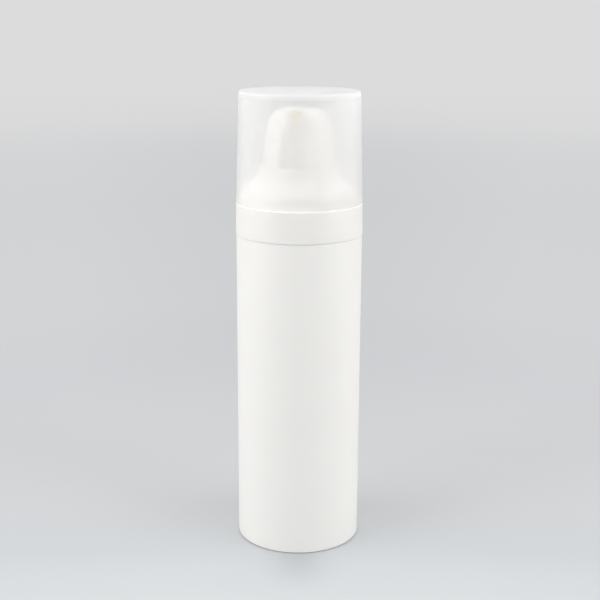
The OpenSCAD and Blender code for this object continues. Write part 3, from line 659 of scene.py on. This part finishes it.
def buttonGrid(b):
    # columns crowd towards the front, where the scoop and the spout are: turn = even - crowding * sin(even)
    even = np.linspace(0, 2 * np.pi, b["columns"], endpoint=False)
    turns = even - b["crowding"] * np.sin(even)
    outer = buttonSkin(b, 0.0, b["outerRows"], turns)
    inner = buttonSkin(b, b["wall"], b["innerRows"], turns)
    wide, foot = b["radius"], b["foot"]
    narrow = wide - b["wall"]
    high, low = foot + b["lipHigh"], foot + b["lipLow"]
    lip = np.array([(wide, high), (wide - b["lipHalf"], low), (wide - b["lipWide"], foot),
                    (narrow + b["lipWide"], foot), (narrow + b["lipHalf"], low), (narrow, high)])
    rim = np.stack([lip[:, :1] * np.sin(turns), -lip[:, :1] * np.cos(turns), lip[:, 1:] + 0 * turns], axis=2)
    grid = np.vstack([outer, rim, inner[::-1]])
    angle = -math.radians(b["turn"])
    x, y = grid[..., 0].copy(), grid[..., 1].copy()
    grid[..., 0] = x * math.cos(angle) - y * math.sin(angle)
    grid[..., 1] = x * math.sin(angle) + y * math.cos(angle)
    return grid


place(solidFromGrid("pressButton", buttonGrid(button), closedRows=False), "actuator", "actuator",
      materials["head"])

# Overcap
capLow, capHigh = corners("overcap")
overcap = {"foot": capHigh[0], "low": capLow[2], "high": capHigh[2], "draft": 0.85, "wall": 1.1, "top": 1.3,
           "edgeRound": 0.7, "edgeInRound": 0.5, "footRound": 0.25, "bead": 15.6, "beadAt": 96.1,
           "beadHeight": 0.8, "beadRound": 0.15, "arcSteps": 10, "columns": 320}


def capOutline(c):
    # under the top plate, down the inside with its bead and up the outside, which leans in by the draft
    inFoot = c["foot"] - c["wall"]
    outTop = c["foot"] - c["draft"]
    half = c["beadHeight"] / 2
    return roundedOutline([
        (0, c["high"] - c["top"], 0),
        (outTop - c["wall"], c["high"] - c["top"], c["edgeInRound"]),
        (inFoot, c["beadAt"] + half, slight),
        (c["bead"], c["beadAt"], c["beadRound"]),
        (inFoot, c["beadAt"] - half, slight),
        (inFoot, c["low"], c["footRound"]),
        (c["foot"], c["low"], c["footRound"]),
        (outTop, c["high"], c["edgeRound"]),
        (0, c["high"], 0),
    ], closed=False, steps=c["arcSteps"])


place(solidFromGrid("frostedCap", revolved(capOutline(overcap), overcap["columns"]), closedRows=False), "cap",
      "overcap", materials["cap"])

# Return spring: round wire, one dead turn at each end, ground flat where it sits
spring = {"low": 96.8, "high": 106.3, "radius": 3.75, "wire": 0.6, "turns": 7.0, "dead": 1.0, "pressed": 5.5,
          "ground": 0.35,  # how far the end turn's centre lies from the ground face, in wires
          "deadClimb": 0.8,  # rise of a dead turn, in wires
          "tapered": 0.012,  # length of the rounded tip, in turns
          "rings": 421, "sides": 16}


def springGrid(s):
    # a ring of points carried along a helix, which climbs little over each dead turn and evenly between them
    travel = np.linspace(0, s["turns"], s["rings"])
    low, high = s["low"] + s["wire"] * s["ground"], s["high"] - s["wire"] * s["ground"]
    climb = s["wire"] * s["deadClimb"]
    height = np.interp(travel, [0, s["dead"], s["turns"] - s["dead"], s["turns"]],
                       [low, low + climb, high - climb, high])
    turn = 2 * np.pi * travel
    centre = np.stack([s["radius"] * np.cos(turn), s["radius"] * np.sin(turn), height], axis=1)
    along = np.gradient(centre, axis=0)
    along /= np.linalg.norm(along, axis=1)[:, None]
    outward = np.stack([np.cos(turn), np.sin(turn), 0 * turn], axis=1)
    upward = np.cross(outward, along)
    size = s["wire"] / 2 * np.sqrt(np.clip(np.minimum(travel, travel[::-1]) / s["tapered"], 0, 1))
    side = np.linspace(0, 2 * np.pi, s["sides"], endpoint=False)
    across, above = np.cos(side)[None, :, None], np.sin(side)[None, :, None]
    ring = across * outward[:, None, :] + above * upward[:, None, :]
    tube = centre[:, None, :] + ring * size[:, None, None]
    tube[..., 2] = np.clip(tube[..., 2], s["low"], s["high"])
    return tube


springPiece = solidFromGrid("returnSpring", springGrid(spring), closedRows=False)
place(springPiece, "bottle", "return_spring", materials["spring"])
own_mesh(springPiece)

# The pieces inside keep their own shapes
innerFinishes = {"neck_gasket": "seal", "stem_seal": "seal", "pump_housing": "natural",
                 "housing_retainer": "natural", "stem": "natural", "valve_rod": "natural",
                 "pump_piston": "piston", "inlet_ball": "ball", "snap_closure": "closure",
                 "follower_piston": "follower", "spout_core": "core"}
for node, finish in innerFinishes.items():
    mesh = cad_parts[node].data
    mesh.materials.clear()
    mesh.materials.append(materials[finish])
print("inner pieces finished")

# Floor, world and lamps
studio = {"ambient": 0.375, "ambientBack": 0.8, "backdrop": (0.716, 0.716, 0.716), "lampAim": (0, 0, 65)}
floorLook = {
    "rings": (0.0, 60.0, 400.0, 2000.0, 6000.0), "columns": 96, "drop": 0.02, "foot": 17.0,
    # colour of the far floor by distance from the bottle, and where it takes over from the near floor's;
    # the far floor glows with it for the camera, and its dip at middle distances is painted shade
    "farFrom": 50, "farTo": 260,
    "far": [(50, (0.672, 0.687, 0.712)), (110, (0.672, 0.687, 0.708)), (165, (0.658, 0.665, 0.687)),
            (310, (0.651, 0.658, 0.668)), (586, (0.644, 0.651, 0.658)), (830, (0.651, 0.658, 0.668)),
            (1010, (0.668, 0.672, 0.683)), (1240, (0.698, 0.698, 0.701)), (2000, (0.716, 0.716, 0.716))],
    # colour of the near floor by the distance in front of or behind the axis; painted shade makes it
    # darker close to the foot and behind the bottle, and lighter towards the front
    "near": [(-45, (0.647, 0.67, 0.685)), (-30, (0.623, 0.647, 0.665)), (-18, (0.604, 0.627, 0.646)),
             (0, (0.622, 0.64, 0.658)), (12, (0.639, 0.648, 0.665)), (60, (0.602, 0.614, 0.631))],
    "bounce": (0.73, 0.75, 0.77),  # what the floor throws back at the bottle
    # painted shade: the backdrop is darker straight behind the bottle, by the slope of the line of sight,
    # until it fades out
    "dim": 0.04, "dimFrom": 0.07, "dimTo": 0.2, "dimNear": 30.0, "dimFadeFrom": 900, "dimFadeTo": 1500,
    # soft shadow in front of the foot
    "lobe": 0.2, "lobeWidth": 7.2, "lobeReach": 22.0, "lobeEndFrom": -12, "lobeEndTo": 0,
    # painted contact shadow: a dark line round the foot, weaker at the sides and behind
    "contact": 0.35, "contactFrom": 17.0, "contactTo": 17.9,
    "contactFade": 0.75, "contactFadeFrom": -13, "contactFadeTo": -1,
}


def seenDirectly(paint):
    # 1 for what the camera sees, also in a mirror or through a clear piece
    camera, glossy, through = (paint.node("ShaderNodeLightPath", output="Is " + way + " Ray")
                               for way in ("Camera", "Glossy", "Transmission"))
    return camera.maths("MAXIMUM", glossy).maths("MAXIMUM", through)


def makeFloor(f):
    # a flat disc, lit near the bottle, where painted shade darkens its colour; further off it glows with
    # its colour by the logarithm of distance, which holds painted shade
    outline = np.array([(ring, 0) for ring in f["rings"]], float)
    grid = revolved(outline, f["columns"])
    grid[..., 2] -= f["drop"]
    floor = solidFromGrid("floor", grid, closedRows=False)
    if floor.data.polygons[0].normal.z < 0:
        floor.data.flip_normals()
    paint = Paint("paleFloor")
    x, y = paint.axes()[:2]
    away = (x * x + y * y).maths("SQRT")
    farShare = away.between(f["farFrom"] * mm, f["farTo"] * mm)
    low, high = f["far"][0][0] * mm, f["far"][-1][0] * mm
    farStops = [(math.log(d * mm / low, high / low), colour(*c)) for d, c in f["far"]]
    byDistance = (away / low).maths("LOGARITHM", high / low).maths("MAXIMUM", 0.0).maths("MINIMUM", 1.0)
    # the far floor's glowing colour, with painted shade at middle distances
    farColour = paint.node("ShaderNodeValToRGB", {"stops": farStops}, {0: byDistance})
    # painted shade on the backdrop straight behind the bottle
    ahead = (y + viewpoint["away"] * mm).maths("MAXIMUM", f["dimNear"] * mm)
    aside = (x.maths("ABSOLUTE") / ahead).between(f["dimFrom"], f["dimTo"])
    dim = 1 - (1 - aside) * (1 - away.between(f["dimFadeFrom"] * mm, f["dimFadeTo"] * mm)) * f["dim"]
    front, back = f["near"][0][0], f["near"][-1][0]
    nearStops = [((d - front) / (back - front), colour(*c)) for d, c in f["near"]]
    # painted shade: the near floor's colour is darker close to the foot and behind the bottle
    nearColour = paint.node("ShaderNodeValToRGB", {"stops": nearStops}, {0: y.between(front * mm, back * mm)})
    sideways = x / (f["lobeWidth"] * mm)
    forward = y.between(-(f["foot"] + f["lobeReach"]) * mm, -f["foot"] * mm)
    lobe = (sideways * sideways * -1.0).maths("EXPONENT") * forward
    lobe = lobe * (1 - y.between(f["lobeEndFrom"] * mm, f["lobeEndTo"] * mm)) * f["lobe"]
    # painted contact shadow round the foot
    contact = (1 - away.between(f["contactFrom"] * mm, f["contactTo"] * mm)) * f["contact"]
    contact = contact * (1 - y.between(f["contactFadeFrom"] * mm, f["contactFadeTo"] * mm) * f["contactFade"])
    shade = (1 - lobe) * (1 - contact)
    nearColour = paint.blend(shade, colour(0, 0, 0), nearColour)
    farColour = paint.blend(dim, colour(0, 0, 0), farColour)
    seen = seenDirectly(paint)
    thrown = paint.blend(seen, colour(*f["bounce"]), nearColour)
    lit = paint.node("ShaderNodeBsdfDiffuse", {}, {"Color": thrown})
    shown = paint.node("ShaderNodeEmission", {}, {"Color": farColour, "Strength": 1.0})
    surface = paint.node("ShaderNodeMixShader", {}, {0: seen * farShare, 1: lit, 2: shown})
    floor.data.materials.append(paint.finish(surface))


def makeWorld(s):
    # the light is even in front and grows softly towards the back, where a studio's bright backdrop stands
    paint = Paint("studio", bpy.data.worlds)
    towards = paint.node("ShaderNodeTexCoord", output="Generated")
    backward = paint.node("ShaderNodeSeparateXYZ", {}, [towards], output="Y")
    strength = s["ambient"] + backward.between(0.0, 1.0) * (s["ambientBack"] - s["ambient"])
    light = paint.node("ShaderNodeBackground", {}, {"Color": colour(1.0, 1.0, 1.0), "Strength": strength})
    shown = paint.node("ShaderNodeBackground", {}, {"Color": colour(*s["backdrop"])})
    mix = paint.node("ShaderNodeMixShader", {}, {0: seenDirectly(paint), 1: light, 2: shown})
    scene.world = paint.finish(mix, "ShaderNodeOutputWorld")


warm, plain = (1.0, 0.995, 0.985), (1.0, 1.0, 1.0)
lamps = {
    "leftBox": {"power": 3.5, "place": (-625, -208, 300), "width": 620, "height": 900, "tint": warm},
    "rightBox": {"power": 3.22, "place": (625, -208, 300), "width": 620, "height": 900, "tint": warm},
    "topBox": {"power": 1.9, "place": (0, -120, 800), "width": 500, "height": 500, "tint": plain},
}


def makeLamp(name, l, aim):
    light = bpy.data.lights.new(name, "AREA")
    light.shape = "RECTANGLE"
    light.size = l["width"] * mm
    light.size_y = l["height"] * mm
    light.energy = l["power"]
    light.color = l["tint"]
    lamp = bpy.data.objects.new(name, light)
    scene.collection.objects.link(lamp)
    spot = np.array(l["place"], float) * mm
    way = np.array(aim, float) * mm - spot
    lamp.location = spot
    # a lamp shines down its own -Z: tilted up from straight down, then turned to the aim
    tilt = math.atan2(np.hypot(way[0], way[1]), -way[2])
    lamp.rotation_euler = (tilt, 0, math.atan2(way[1], way[0]) - np.pi / 2)


makeFloor(floorLook)
makeWorld(studio)
for name, lamp in lamps.items():
    makeLamp(name, lamp, studio["lampAim"])
print("studio lit by", len(lamps), "lamps")
